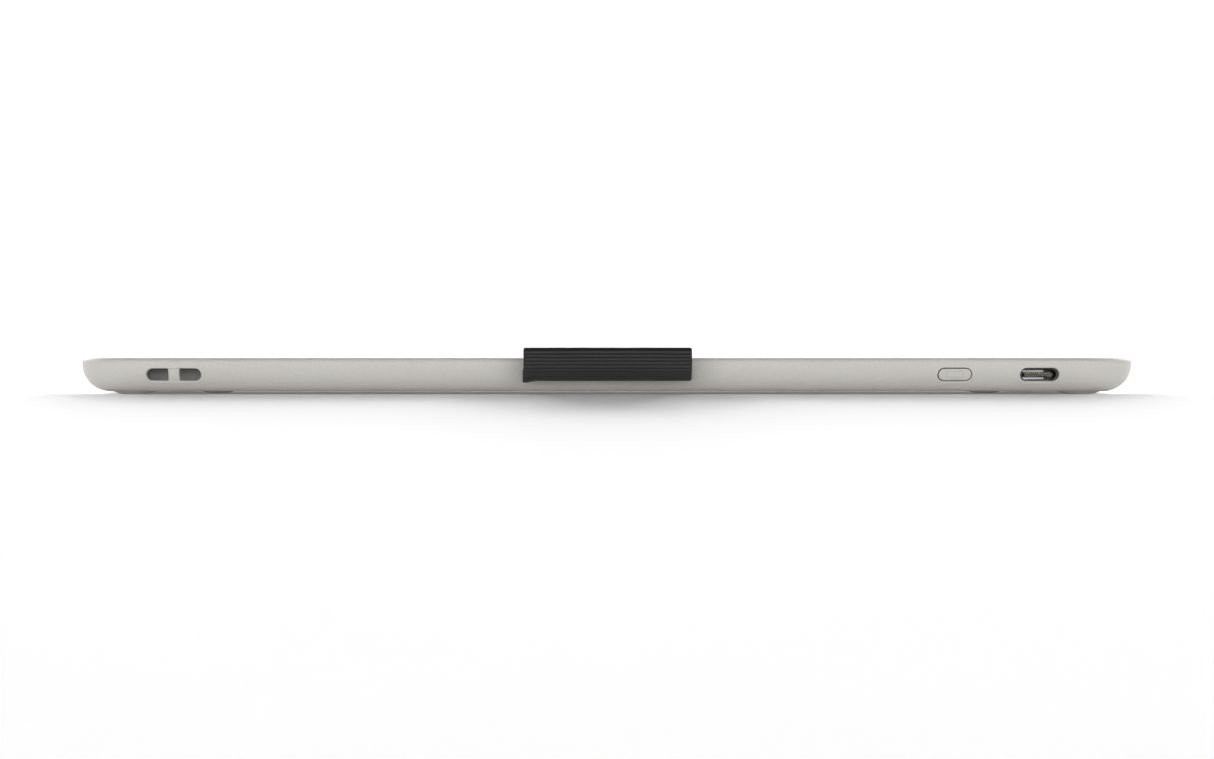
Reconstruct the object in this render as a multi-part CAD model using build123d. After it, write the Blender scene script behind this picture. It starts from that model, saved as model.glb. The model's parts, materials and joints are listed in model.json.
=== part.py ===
"""E-reader: a thin tablet with an electronic-paper screen, in a dished plastic case on four domed feet.

One long edge carries, from left to right, a lanyard bar, an elastic pen loop, the power button and a USB-C
port. X runs along the long edges, Y from the edge with the ports to the far edge, and Z up from the surface
that the feet stand on. Everything is drawn about the centre of the case. export() then moves it, so that the
origin lies under the middle of the whole footprint, pen loop included. All sizes are in millimetres.
"""

from build123d import *
import os

# ---------------------------------------------------------------- case
WIDTH = 252.0
DEPTH = 181.6
CASE_HEIGHT = 7.9
CORNER_RADIUS = 14.0
HULL_RADIUS = 6.7
RIM_RADIUS = 1.1
FLOOR_THICKNESS = 1.3
WALL_INSET = 2.8
HULL_INNER_RADIUS = 4.3

FOOT_HEIGHT = 0.7
FOOT_RADIUS = 5.3
FOOT_FLAT_RADIUS = 1.8
FOOT_INSET = 12.7
FOOT_SEAT_DEPTH = 0.5
FOOT_PEG_RADIUS = 1.5
FOOT_PEG_LENGTH = 0.5
FOOT_CLEARANCE = 0.08

UNDERSIDE_Z = FOOT_HEIGHT
TOP_Z = UNDERSIDE_Z + CASE_HEIGHT
FLOOR_Z = UNDERSIDE_Z + FLOOR_THICKNESS

BEZEL_INSET = 1.55
BEZEL_THICKNESS = 1.0
BEZEL_GAP = 0.12
LEDGE_Z = TOP_Z - BEZEL_THICKNESS

# ---------------------------------------------------------------- what the front edge carries
EDGE_LINE_Z = 4.65
LANYARD_X = -102.3
BUTTON_X = 82.0
PORT_X = 102.0
MOUTH_ROUND = 0.25

LANYARD_LENGTH = 12.9
LANYARD_HEIGHT = 2.85
LANYARD_BAR_WIDTH = 2.5
LANYARD_BAR_FLARE = 0.12
LANYARD_BAR_INSET = 0.35

BUTTON_LENGTH = 7.7
BUTTON_HEIGHT = 2.75
BUTTON_GAP = 0.19
BUTTON_PROUD = 0.12
BUTTON_TRAVEL = 0.35
PILL_LENGTH = 4.1
PILL_HEIGHT = 1.6
PILL_PROUD = 0.3
PILL_ROUND = 0.2

USB_LENGTH = 8.94
USB_HEIGHT = 3.16
USB_WALL = 0.3
USB_DEPTH = 6.6
USB_MOUTH_INSET = 2.2
USB_ROOT_INSET = USB_MOUTH_INSET + 3.7
USB_GAP = 0.2
PORT_MOUTH = (9.22, 3.12)
TONGUE_HALF = (3.345, 0.35)
TONGUE_STEP_HALF = (3.6, 0.65)
CONTACT_PITCH = 0.5
CONTACT_PROUD = 0.04
SHIELD_TAB_X = (-3.2, 1.75)
SHIELD_TOP = 1.1
POCKET_FACE_INSET = 3.3

# ---------------------------------------------------------------- elastic pen loop
LOOP_WIDTH = 39.2
LOOP_THICKNESS = 0.95
LOOP_REACH = 9.0
LOOP_SLOT_LENGTH = 39.8
LOOP_SLOT_HEIGHT = 2.4
LOOP_TAIL_INSET = 8.4
LOOP_TAIL_LOW_Z = 4.12
LOOP_TAIL_HIGH_Z = 5.18
# Centre line of the band outside the case, as (reach beyond the front edge, height), from its lower tail
# round to its upper one, and the corner radius at each of these points.
LOOP_FRONT = LOOP_REACH - LOOP_THICKNESS / 2
LOOP_POINTS = [(-0.9, LOOP_TAIL_LOW_Z), (0.8, 3.68), (4.57, 3.54), (LOOP_FRONT, 6.5)]
LOOP_POINTS += [(LOOP_FRONT - 0.08, 10.44), (1.5, 10.19), (0.8, 6.2), (0.1, LOOP_TAIL_HIGH_Z)]
LOOP_RADII = [1.0, 1.2, 2.0, 3.0, 0.6, 2.2, 1.0, 0.6]

# ---------------------------------------------------------------- display stack, as (bottom, top) heights
MIDFRAME_Z = (5.05, 5.75)
DIGITIZER_Z = (5.80, 6.05)
BACKPLANE_Z = (6.10, 6.55)
INK_FILM_Z = (6.55, 6.80)
LIGHT_GUIDE_Z = (6.85, 7.10)
TOUCH_FILM_Z = (7.12, 7.22)
LENS_Z = (7.25, 7.80)
GASKET_Z = (7.80, 7.95)

ACTIVE_WIDTH = 209.7
ACTIVE_DEPTH = 157.3
WINDOW_MARGIN = 0.75
LENS_MARGIN = 2.45
LENS_CLEARANCE = 0.2
WINDOW_RADIUS = 2.0
WINDOW_CHAMFER = 0.35
MIDFRAME_INSET = 3.3

# ---------------------------------------------------------------- boards, batteries, screws
BOARD_Z = (2.27, 3.07)
BOARD_X = (28.0, 111.5)
BOARD_REAR_Y = -46.0
BOARD_FRONT_INSET = 6.5
SHIELD_HEIGHT = 1.4
SHIELD_WALL = 0.15
FLEX_THICKNESS = 0.12
FLEX_LEVEL_Z = 4.62
FLEX_BEND = 0.5
CONNECTOR_TOP_Z = BOARD_Z[1] + 0.95
# Connectors as (x, width, y).
CONNECTORS = [(50.0, 26.0, -70.5), (70.0, 9.0, -74.5)]
CONTROLLER_CONNECTOR = (-60.0, 14.0, -73.5)
LINK_X = (-47.5, 31.5)
LINK_Y = -70.0
LINK_TOP_Z = BOARD_Z[1] + 0.5
LINK_THICKNESS = 0.15

ANTENNA_X = (44.0, 76.0)
ANTENNA_Y = (79.5, 83.5)
COAX_DIAMETER = 0.8
COAX_START_X = (36.0, 40.0)
COAX_START_Y = -48.2
COAX_LEVEL_Z = 2.6

BATTERY_SIZE = (96.0, 104.0, 2.6)
BATTERY_CENTRE = (52.0, 24.0)
BATTERY_Z = 2.15

SCREW_RADIUS = 0.7
SCREW_HOLE_RADIUS = 0.75
SCREW_HEAD_RADIUS = 1.3
SCREW_HEAD_HEIGHT = 0.45
BOSS_RADIUS = 2.0

SIDE_BOSS_X = 114.5
EDGE_BOSS_Y = 84.9
MIDFRAME_BOSSES = [(side * SIDE_BOSS_X, y) for side in (-1, 1) for y in (-62.0, 0.0, 62.0)]
MIDFRAME_BOSSES += [(x, -EDGE_BOSS_Y) for x in (-88.0, -32.0, 32.0)]
MIDFRAME_BOSSES += [(x, EDGE_BOSS_Y) for x in (-90.0, -30.0, 30.0, 90.0)]
BOARD_BOSSES = [(31.0, -79.5), (31.0, -49.0), (108.6, -71.5), (108.6, -49.5)]
CONTROLLER_BOSSES = [(-83.5, -63.0), (-46.5, -63.0)]
CRIMP_BOSS_X = 23.4
CRIMP_BOSS_INSET = 6.6
CRIMP_Z = (3.15, 6.15)
CRIMP_SHEET = 0.4

FRONT_HOOK_X = (-65.0, -45.0, 45.0, 65.0)
REAR_HOOK_X = (-100.0, -60.0, 0.0, 60.0, 100.0)
SIDE_HOOK_Y = (-40.0, 0.0, 40.0)
HOOK_WIDTH = 5.0

ORIGIN_SHIFT_Y = LOOP_REACH / 2


# ================================================================ helpers
def front(inset):
    """Y of the plane that far behind the case's front edge."""
    return -DEPTH / 2 + inset


def block(x, y, z):
    """A box between two values along each axis."""
    size = [high - low for low, high in (x, y, z)]
    middle = [(high + low) / 2 for low, high in (x, y, z)]
    return Pos(*middle) * Box(*size)


def slab(width, depth, z, radius=0.0, centre=(0.0, 0.0)):
    """A flat plate about the vertical line through centre, between the heights z[0] and z[1]."""
    outline = RectangleRounded(width, depth, radius) if radius else Rectangle(width, depth)
    return extrude(Pos(centre[0], centre[1], z[0]) * outline, z[1] - z[0])


def inset_slab(inset, z):
    """The case's own outline, drawn in by inset, between two heights."""
    return slab(WIDTH - 2 * inset, DEPTH - 2 * inset, z, CORNER_RADIUS - inset)


def post(x, y, radius, z):
    """A round post, pin or hole between two heights."""
    return Pos(x, y, (z[0] + z[1]) / 2) * Cylinder(radius, z[1] - z[0])


def edge_slot(x, length, height, inset, z=EDGE_LINE_Z):
    """A prism of slot-shaped section that runs into the front edge, between two insets."""
    plane = Plane(origin=(x, front(inset[0]), z), x_dir=(1, 0, 0), z_dir=(0, 1, 0))
    return extrude(plane * SlotOverall(length, height), inset[1] - inset[0])


def edge_block(x, half_width, inset, z):
    """A box behind the front edge, centred on x, between two insets and two heights."""
    return block((x - half_width, x + half_width), (front(inset[0]), front(inset[1])), z)


def ribbon(points, radii, width, thickness):
    """A flat band of constant thickness along a path of straight runs and tangent arcs."""
    path = FilletPolyline(*points, radius=radii)
    across = Vector(0, 1, 0) if abs(points[0][0] - points[1][0]) > 1e-6 else Vector(1, 0, 0)
    start = Plane(origin=path @ 0, x_dir=across, z_dir=path % 0)
    return sweep(start * Rectangle(width, thickness), path)


def wire(points, radii, diameter):
    """A round lead along a path of straight runs and tangent arcs."""
    path = FilletPolyline(*points, radius=radii)
    start = Plane(origin=path @ 0, z_dir=path % 0)
    return sweep(start * Circle(diameter / 2), path)


def can(x, y, z):
    """A sheet-metal screening can, open below."""
    inner_x, inner_y = [(low + SHIELD_WALL, high - SHIELD_WALL) for low, high in (x, y)]
    shell = fillet(block(x, y, z).edges().filter_by(Axis.Z), 0.6)
    return shell - block(inner_x, inner_y, (z[0] - 1, z[1] - SHIELD_WALL))


def screws(places, head_z, tip_z):
    """Pan-head screws with a cross recess, all with the underside of the head at head_z."""
    driver = Box(1.3, 0.3, 0.5) + Box(0.3, 1.3, 0.5)
    made = []
    for x, y in places:
        head = post(x, y, SCREW_HEAD_RADIUS, (head_z, head_z + SCREW_HEAD_HEIGHT))
        head = fillet(head.edges().group_by(Axis.Z)[-1], 0.15)
        shank = post(x, y, SCREW_RADIUS, (tip_z, head_z))
        made.append(head + shank - Pos(x, y, head_z + SCREW_HEAD_HEIGHT) * driver)
    return made


def export(name, *solids):
    """Writes one node, as one solid or as a group of separate ones."""
    moved = [Pos(0, ORIGIN_SHIFT_Y, 0) * solid for shape in solids for solid in shape.solids()]
    whole = moved[0] if len(moved) == 1 else Compound(children=moved)
    export_step(whole, f"parts/{name}.step")


# ================================================================ case
def hull():
    """The closed outer form: a plate with a deeply rounded lower edge and a small radius round the top."""
    form = inset_slab(0, (UNDERSIDE_Z, TOP_Z))
    form = fillet(form.edges().group_by(Axis.Z)[0], HULL_RADIUS)
    return fillet(form.edges().group_by(Axis.Z)[-1], RIM_RADIUS)


def cavity():
    form = inset_slab(WALL_INSET, (FLOOR_Z, TOP_Z + 1))
    return fillet(form.edges().group_by(Axis.Z)[0], HULL_INNER_RADIUS)


def edge_mouths():
    """The three rounded openings of the front edge, and the slot that the pen loop comes out of."""
    through = (-1.0, 5.0)
    loop_z = (EDGE_LINE_Z - LOOP_SLOT_HEIGHT / 2, EDGE_LINE_Z + LOOP_SLOT_HEIGHT / 2)
    loop_slot = edge_block(0, LOOP_SLOT_LENGTH / 2, through, loop_z)
    return [
        edge_slot(LANYARD_X, LANYARD_LENGTH, LANYARD_HEIGHT, through),
        edge_slot(BUTTON_X, BUTTON_LENGTH + 2 * BUTTON_GAP, BUTTON_HEIGHT + 2 * BUTTON_GAP, through),
        edge_slot(PORT_X, *PORT_MOUTH, through),
        fillet(loop_slot.edges().filter_by(Axis.Y), 0.4),
    ]


def lanyard_bar(outer):
    """The waisted bar across the lanyard opening, moulded with the case just behind its outer form."""
    half, flare = LANYARD_BAR_WIDTH / 2, LANYARD_BAR_WIDTH / 2 + LANYARD_BAR_FLARE
    reach = LANYARD_HEIGHT / 2 + 0.4
    left = ThreePointArc((-flare, -reach), (-half, 0), (-flare, reach))
    right = ThreePointArc((flare, -reach), (half, 0), (flare, reach))
    ends = [Line(left @ 0, right @ 0), Line(left @ 1, right @ 1)]
    face = make_face(Curve() + [left, right, *ends])
    plane = Plane(origin=(LANYARD_X, front(0), EDGE_LINE_Z), x_dir=(1, 0, 0), z_dir=(0, 1, 0))
    return extrude(plane * face, 2.45) & Pos(0, LANYARD_BAR_INSET, 0) * outer


def snap_pockets():
    """The recesses in the case wall that the bezel's hooks click into."""
    inset = (WALL_INSET - 0.6, WALL_INSET + 0.2)
    z = (6.2, 7.05)
    half = HOOK_WIDTH / 2 + 0.3
    cuts = [edge_block(x, half, inset, z) for x in FRONT_HOOK_X]
    cuts += [Rot(0, 0, 180) * edge_block(x, half, inset, z) for x in REAR_HOOK_X]
    side = (WIDTH / 2 - inset[1], WIDTH / 2 - inset[0])
    for y in SIDE_HOOK_Y:
        cut = block(side, (y - half, y + half), z)
        cuts += [cut, mirror(cut, Plane.YZ)]
    return cuts


def rear_shell(outer):
    """The dished tub: floor, walls, screw bosses, battery ribs, and the openings of the front edge."""
    shell = outer
    for mouth in edge_mouths():
        shell -= mouth
    rims = [e for e in shell.edges() if on_front_mouth(e)]
    shell = fillet(rims, MOUTH_ROUND)
    shell -= cavity()
    shell -= inset_slab(BEZEL_INSET - BEZEL_GAP, (LEDGE_Z, TOP_Z + 1))
    shell -= snap_pockets()
    shell -= edge_block(LANYARD_X, 8.9, (POCKET_FACE_INSET, 9.0), (2.3, 7.0))
    shell -= edge_block(BUTTON_X, 5.5, (POCKET_FACE_INSET, 8.0), (2.4, 6.9))
    shell -= edge_block(PORT_X, 5.8, (POCKET_FACE_INSET, 8.0), (2.1, 7.2))
    seat = (USB_MOUTH_INSET - 0.1, 5.0)
    shell -= edge_slot(PORT_X, USB_LENGTH + 2 * USB_GAP, USB_HEIGHT + 2 * USB_GAP, seat)
    shell += lanyard_bar(outer)

    for x, y in MIDFRAME_BOSSES:
        shell += post(x, y, BOSS_RADIUS, (FLOOR_Z - 0.2, MIDFRAME_Z[0])) & outer
    for x, y in BOARD_BOSSES + CONTROLLER_BOSSES:
        shell += post(x, y, BOSS_RADIUS, (FLOOR_Z - 0.2, BOARD_Z[0]))
    crimp_y = front(CRIMP_BOSS_INSET)
    for side in (-1, 1):
        shell += post(side * CRIMP_BOSS_X, crimp_y, 1.8, (FLOOR_Z - 0.2, CRIMP_Z[0]))
        shell += block((side * 52 - 42, side * 52 + 42), (-37.0, -36.0), (FLOOR_Z - 0.2, 3.2))
    for y in (-20.0, 25.0, 70.0):
        shell += post(0, y, 1.6, (FLOOR_Z - 0.2, MIDFRAME_Z[0]))

    for x, y in MIDFRAME_BOSSES:
        shell -= post(x, y, SCREW_HOLE_RADIUS, (2.5, MIDFRAME_Z[0] + 1))
    for x, y in BOARD_BOSSES + CONTROLLER_BOSSES:
        shell -= post(x, y, SCREW_HOLE_RADIUS, (1.35, BOARD_Z[0] + 1))
    for side in (-1, 1):
        shell -= post(side * CRIMP_BOSS_X, crimp_y, SCREW_HOLE_RADIUS, (1.6, CRIMP_Z[0] + 1))
    for x, y in foot_places():
        seat_top = UNDERSIDE_Z + FOOT_SEAT_DEPTH
        shell -= post(x, y, FOOT_RADIUS + FOOT_CLEARANCE, (UNDERSIDE_Z - 1, seat_top))
        peg = (seat_top - 0.1, seat_top + FOOT_PEG_LENGTH + 0.1)
        shell -= post(x, y, FOOT_PEG_RADIUS + FOOT_CLEARANCE, peg)
    return shell


def on_front_mouth(edge):
    """True for an edge where an opening meets the outer surface of the front wall."""
    box = edge.bounding_box()
    within = box.max.Y < front(3.0) and 2.4 < box.min.Z and box.max.Z < 6.9
    return within and edge.length < 2 * LOOP_WIDTH


def foot_places():
    x, y = WIDTH / 2 - FOOT_INSET, DEPTH / 2 - FOOT_INSET
    return [(sx * x, sy * y) for sy in (-1, 1) for sx in (-1, 1)]


def foot(x, y):
    """A domed foot whose edge flares into the case, with a seated base and a peg."""
    seat_top = UNDERSIDE_Z + FOOT_SEAT_DEPTH
    peg_top = seat_top + FOOT_PEG_LENGTH
    rim, flat = (FOOT_RADIUS, UNDERSIDE_Z), (FOOT_FLAT_RADIUS, 0.0)
    dome = Spline(rim, (4.35, 0.42), flat, tangents=((-1, 0), (-1, 0)))
    rest = Polyline(
        flat, (0, 0), (0, peg_top), (FOOT_PEG_RADIUS, peg_top), (FOOT_PEG_RADIUS, seat_top),
        (FOOT_RADIUS, seat_top), rim,
    )
    section = Plane.XZ * make_face(Curve() + [dome, rest])
    return Pos(x, y, 0) * revolve(section, Axis.Z)


def hook():
    """One snap hook of the bezel, as it stands at the middle of the front edge."""
    stem = edge_block(0, HOOK_WIDTH / 2, (WALL_INSET + 0.2, WALL_INSET + 0.95), (6.35, LEDGE_Z))
    barb = edge_block(0, HOOK_WIDTH / 2, (WALL_INSET - 0.4, WALL_INSET + 0.25), (6.35, 6.85))
    return stem + chamfer(barb.edges().filter_by(Axis.X).group_by(Axis.Z)[0].sort_by(Axis.Y)[0], 0.3)


def front_bezel():
    """The frame that lies flush in the case's rim, with the screen window and its snap hooks."""
    plate = inset_slab(BEZEL_INSET, (LEDGE_Z, TOP_Z))
    plate = chamfer(plate.edges().group_by(Axis.Z)[-1], 0.15)
    width, depth = ACTIVE_WIDTH + 2 * WINDOW_MARGIN, ACTIVE_DEPTH + 2 * WINDOW_MARGIN
    plate -= slab(width, depth, (LEDGE_Z - 1, TOP_Z + 1), WINDOW_RADIUS)
    top_edges = plate.edges().group_by(Axis.Z)[-1]
    plate = chamfer([e for e in top_edges if inside_window(e, width, depth)], WINDOW_CHAMFER)
    seat_width, seat_depth = lens_size(LENS_CLEARANCE)
    plate -= slab(seat_width, seat_depth, (LEDGE_Z - 1, GASKET_Z[1]), WINDOW_RADIUS + 1)
    for x in FRONT_HOOK_X:
        plate += Pos(x, 0, 0) * hook()
    for x in REAR_HOOK_X:
        plate += Rot(0, 0, 180) * Pos(x, 0, 0) * hook()
    for side in (-90, 90):
        for y in SIDE_HOOK_Y:
            plate += Pos(side / 90 * (WIDTH - DEPTH) / 2, y, 0) * Rot(0, 0, side) * hook()
    return plate


def inside_window(edge, width, depth):
    middle = edge.center()
    return abs(middle.X) < width / 2 + 0.1 and abs(middle.Y) < depth / 2 + 0.1


def lens_size(extra=0.0):
    return ACTIVE_WIDTH + 2 * (LENS_MARGIN + extra), ACTIVE_DEPTH + 2 * (LENS_MARGIN + extra)


# ================================================================ display stack
def cover_lens():
    width, depth = lens_size()
    return slab(width, depth, LENS_Z, WINDOW_RADIUS + 0.8)


def lens_gasket():
    width, depth = lens_size(-0.15)
    ring = slab(width, depth, GASKET_Z, WINDOW_RADIUS + 0.8)
    return ring - slab(width - 2.6, depth - 2.6, (GASKET_Z[0] - 1, GASKET_Z[1] + 1), WINDOW_RADIUS)


def sheet_over_active(margin, z, radius=0.5):
    """A layer of the display that covers the active area with a margin all round."""
    return slab(ACTIVE_WIDTH + 2 * margin, ACTIVE_DEPTH + 2 * margin, z, radius)


def front_light_strip():
    """A row of edge-firing lamps on a narrow flexible strip beside the light guide."""
    strip = block((106.6, 109.3), (-77.0, 77.0), (6.58, 6.70))
    lamps = [block((106.75, 107.6), (y - 1.5, y + 1.5), (6.70, 7.10)) for y in range(-72, 73, 12)]
    return [strip, *lamps]


def panel_driver_chips():
    """Three row and column drivers on the bare ledge along the panel's front edge."""
    z = (BACKPLANE_Z[1], BACKPLANE_Z[1] + 0.25)
    return [block((x - 9, x + 9), (-81.1, -80.0), z) for x in (-60, 0, 82)]


def midframe():
    """The stamped tray that the display is bonded to, notched round everything that stands taller."""
    plate = inset_slab(MIDFRAME_INSET, MIDFRAME_Z)
    z = (MIDFRAME_Z[0] - 1, MIDFRAME_Z[1] + 1)
    notches = [
        edge_block(LANYARD_X, 9.4, (0, 8.8), z),
        edge_block(0, 27.5, (0, 9.0), z),
        edge_block(BUTTON_X, 5.6, (0, 5.4), z),
        edge_block(PORT_X, 6.0, (0, 9.0), z),
        edge_block(50, 13.0, (0, 8.4), z),
        edge_block(70, 5.0, (0, 9.6), z),
        edge_block(-60, 8.0, (0, 8.4), z),
        block((109.8, 111.6), (-79.5, -72.5), z),
    ]
    for notch in notches:
        plate -= fillet(notch.edges().filter_by(Axis.Z), 0.5)
    for x, y in MIDFRAME_BOSSES:
        plate -= post(x, y, SCREW_HOLE_RADIUS + 0.1, z)
    for x in (-52, 52):
        plate -= slab(70, 3, z, 1.4, centre=(x, -32.0))
    return plate


def panel_flex(x, width, start, end_y):
    """A flexible tail: off a display layer at the front, folded under the tray, and on to a connector."""
    start_y, start_z = start
    fold_y = start_y - 1.6
    lead_y = end_y - 2.6
    points = [(x, start_y, start_z), (x, fold_y, start_z), (x, fold_y, FLEX_LEVEL_Z)]
    points += [(x, lead_y, FLEX_LEVEL_Z), (x, end_y - 1.2, CONNECTOR_TOP_Z), (x, end_y, CONNECTOR_TOP_Z)]
    return ribbon(points, [FLEX_BEND, FLEX_BEND, 1.0, 1.0], width, FLEX_THICKNESS)


def flex_connector(x, width, y):
    """A board connector with the flat tail lying on it."""
    top = CONNECTOR_TOP_Z - FLEX_THICKNESS / 2
    base = block((x - width / 2, x + width / 2), (y - 1.0, y + 2.0), (BOARD_Z[1], top))
    lever = block((x - width / 2, x + width / 2), (y + 0.1, y + 2.0), (top, top + 0.35))
    return base + lever


def front_light_flex():
    """The lamp strip's tail, folded through the slot in the tray to its connector."""
    y = -76.0
    points = [(109.3, y, 6.64), (110.7, y, 6.64), (110.7, y, FLEX_LEVEL_Z)]
    points += [(106.9, y, FLEX_LEVEL_Z), (105.6, y, CONNECTOR_TOP_Z), (104.4, y, CONNECTOR_TOP_Z)]
    return ribbon(points, [FLEX_BEND, FLEX_BEND, 1.0, 1.0], 5.0, FLEX_THICKNESS)


# ================================================================ boards
def main_board():
    board = block(BOARD_X, (front(BOARD_FRONT_INSET), BOARD_REAR_Y), BOARD_Z)
    board = fillet(board.edges().filter_by(Axis.Z), 1.0)
    z = (BOARD_Z[0] - 1, BOARD_Z[1] + 1)
    board -= post(32.0, -EDGE_BOSS_Y, BOSS_RADIUS + 0.3, z)
    for x, y in BOARD_BOSSES:
        board -= post(x, y, SCREW_HOLE_RADIUS + 0.05, z)
    return board


def controller_board():
    board = block((-86.0, -44.0), (-81.0, -60.0), BOARD_Z)
    board = fillet(board.edges().filter_by(Axis.Z), 1.0)
    for x, y in CONTROLLER_BOSSES:
        board -= post(x, y, SCREW_HOLE_RADIUS + 0.05, (BOARD_Z[0] - 1, BOARD_Z[1] + 1))
    return board


def chip(x, y, width, depth, height):
    """A square-cornered package on the main board."""
    return slab(width, depth, (BOARD_Z[1], BOARD_Z[1] + height), centre=(x, y))


def link_socket(x):
    """One of the two low sockets that the link cable between the boards plugs into."""
    return block((x - 2.0, x + 2.0), (LINK_Y - 4.5, LINK_Y + 4.5), (BOARD_Z[1], LINK_TOP_Z))


def link_cable():
    """The flat cable from the pen controller's board to the main board, dipping to the floor between them."""
    low = FLOOR_Z + 0.3
    top = LINK_TOP_Z + LINK_THICKNESS / 2
    (left, right), run_in = LINK_X, 9.0
    points = [(left - 1.8, LINK_Y, top), (left + 5.5, LINK_Y, top), (left + run_in, LINK_Y, low)]
    points += [(right - run_in, LINK_Y, low), (right - 5.5, LINK_Y, top), (right + 1.8, LINK_Y, top)]
    return ribbon(points, 1.5, 8.0, LINK_THICKNESS)


def board_connectors():
    """The connectors of the main board: display, touch, lamps, battery, link cable and two aerial sockets."""
    parts = [flex_connector(*place) for place in CONNECTORS]
    parts.append(link_socket(LINK_X[1]))
    top = CONNECTOR_TOP_Z - FLEX_THICKNESS / 2
    parts.append(block((102.6, 105.0), (-79.0, -73.0), (BOARD_Z[1], top)))
    parts.append(block((56.0, 64.0), (-49.6, -46.9), (BOARD_Z[1], 4.15)))
    parts += [post(x, COAX_START_Y, 0.9, (BOARD_Z[1], BOARD_Z[1] + 0.6)) for x in COAX_START_X]
    return parts


def board_passives():
    """Small two-terminal parts, in rows on the free areas of the main board."""
    places = [(x, y) for y in (-79.0, -77.0, -71.5, -69.5) for x in range(78, 97, 3)]
    places += [(x, y) for x in (96.5, 99.5, 102.5) for y in (-68, -66, -57, -55, -53)]
    places += [(x, -66.5) for x in range(36, 48, 3)]
    return [chip(x, y, 1.0, 0.5, 0.45) for x, y in places]


def button_bracket():
    """The folded steel stop soldered behind the switch, which takes the push of the button."""
    back = edge_block(BUTTON_X, 4.2, (8.7, 9.0), (BOARD_Z[1], 4.95))
    foot_plate = edge_block(BUTTON_X, 4.2, (9.0, 10.6), (BOARD_Z[1], BOARD_Z[1] + 0.3))
    return back + foot_plate


# ================================================================ front edge fittings
def power_button(outer):
    """The key: a cap that follows the case's surface, a raised pill to feel for, a flange and a pusher."""
    cap = edge_slot(BUTTON_X, BUTTON_LENGTH, BUTTON_HEIGHT, (-1.0, POCKET_FACE_INSET + 0.1))
    cap &= Pos(0, -BUTTON_PROUD, 0) * outer
    cap = fillet(front_rim(cap), 0.18)
    pill = edge_slot(BUTTON_X, PILL_LENGTH, PILL_HEIGHT, (-1.0, 1.5))
    pill &= Pos(0, -BUTTON_PROUD - PILL_PROUD, 0) * outer
    pill = fillet(front_rim(pill), PILL_ROUND)
    flange = edge_slot(BUTTON_X, 9.8, 3.9, (POCKET_FACE_INSET + 0.05, POCKET_FACE_INSET + 0.6))
    pusher = edge_block(BUTTON_X, 1.2, (POCKET_FACE_INSET + 0.6, 4.6), (3.95, 5.2))
    return cap + pill + flange + pusher


def front_rim(key):
    """The edges round the outer face of the cap or its pill."""
    return [e for e in key.edges() if e.bounding_box().max.Y < front(1.45) and e.length > 0.5]


def switch_body():
    body = edge_block(BUTTON_X, 3.0, (5.45, 8.65), (BOARD_Z[1], 4.98))
    return body - edge_block(BUTTON_X, 1.2, (5.0, 6.9), (3.75, 4.85))


def switch_plunger():
    return edge_block(BUTTON_X, 1.1, (4.6, 6.3), (3.85, 4.75))


def usb_shell():
    end = USB_MOUTH_INSET + USB_DEPTH
    tube = edge_slot(PORT_X, USB_LENGTH, USB_HEIGHT, (USB_MOUTH_INSET, end))
    bore = (USB_MOUTH_INSET - 1, end - USB_WALL)
    return tube - edge_slot(PORT_X, USB_LENGTH - 2 * USB_WALL, USB_HEIGHT - 2 * USB_WALL, bore)


def about_edge_line(low, high):
    """A pair of heights measured from the line that the openings are centred on."""
    return EDGE_LINE_Z + low, EDGE_LINE_Z + high


def usb_tongue():
    """The moulded insert: a block that fills the back of the shell, and the thin tongue of the connector."""
    root, back = USB_ROOT_INSET, USB_ROOT_INSET + 1.0
    end = USB_MOUTH_INSET + USB_DEPTH - USB_WALL
    length, height = USB_LENGTH - 2 * USB_WALL - 0.04, USB_HEIGHT - 2 * USB_WALL - 0.04
    base = edge_slot(PORT_X, length, height, (back, end))
    half, rise = TONGUE_STEP_HALF
    step = edge_block(PORT_X, half, (root, back), about_edge_line(-rise, rise))
    half, rise = TONGUE_HALF
    tongue = edge_block(PORT_X, half, (USB_MOUTH_INSET + 0.6, root), about_edge_line(-rise, rise))
    return base + step + fillet(tongue.edges().filter_by(Axis.Y), 0.2)


def usb_contacts():
    """Two rows of twelve contacts, on both faces of the tongue."""
    inset = (USB_MOUTH_INSET + 0.9, USB_ROOT_INSET)
    rise = TONGUE_HALF[1]
    rows = [about_edge_line(rise, rise + CONTACT_PROUD), about_edge_line(-rise - CONTACT_PROUD, -rise)]
    return [edge_block(PORT_X + CONTACT_PITCH * (i - 5.5), 0.13, inset, z) for z in rows for i in range(12)]


def usb_shields():
    """The bright sheet-metal shields that stand above and below the root of the tongue."""
    across = (PORT_X + SHIELD_TAB_X[0], PORT_X + SHIELD_TAB_X[1])
    depth = (front(USB_ROOT_INSET), front(USB_ROOT_INSET + 0.3))
    low, high = TONGUE_STEP_HALF[1], SHIELD_TOP
    return [block(across, depth, about_edge_line(*z)) for z in ((low, high), (-high, -low))]


def usb_gasket():
    ring = edge_slot(PORT_X, 10.8, 4.8, (POCKET_FACE_INSET, POCKET_FACE_INSET + 0.9))
    hole = (POCKET_FACE_INSET - 1, POCKET_FACE_INSET + 2)
    return ring - edge_slot(PORT_X, USB_LENGTH + 0.04, USB_HEIGHT + 0.04, hole)


def lanyard_liner():
    """The moulded cup behind the bar, which a cord is threaded round the bar through."""
    cup = edge_block(LANYARD_X, 8.6, (POCKET_FACE_INSET + 0.05, 8.5), (2.4, 6.9))
    cup = fillet(cup.edges().filter_by(Axis.Y), 0.8)
    return cup - edge_slot(LANYARD_X, LANYARD_LENGTH + 0.6, LANYARD_HEIGHT + 0.6, (3.0, 7.7))


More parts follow.
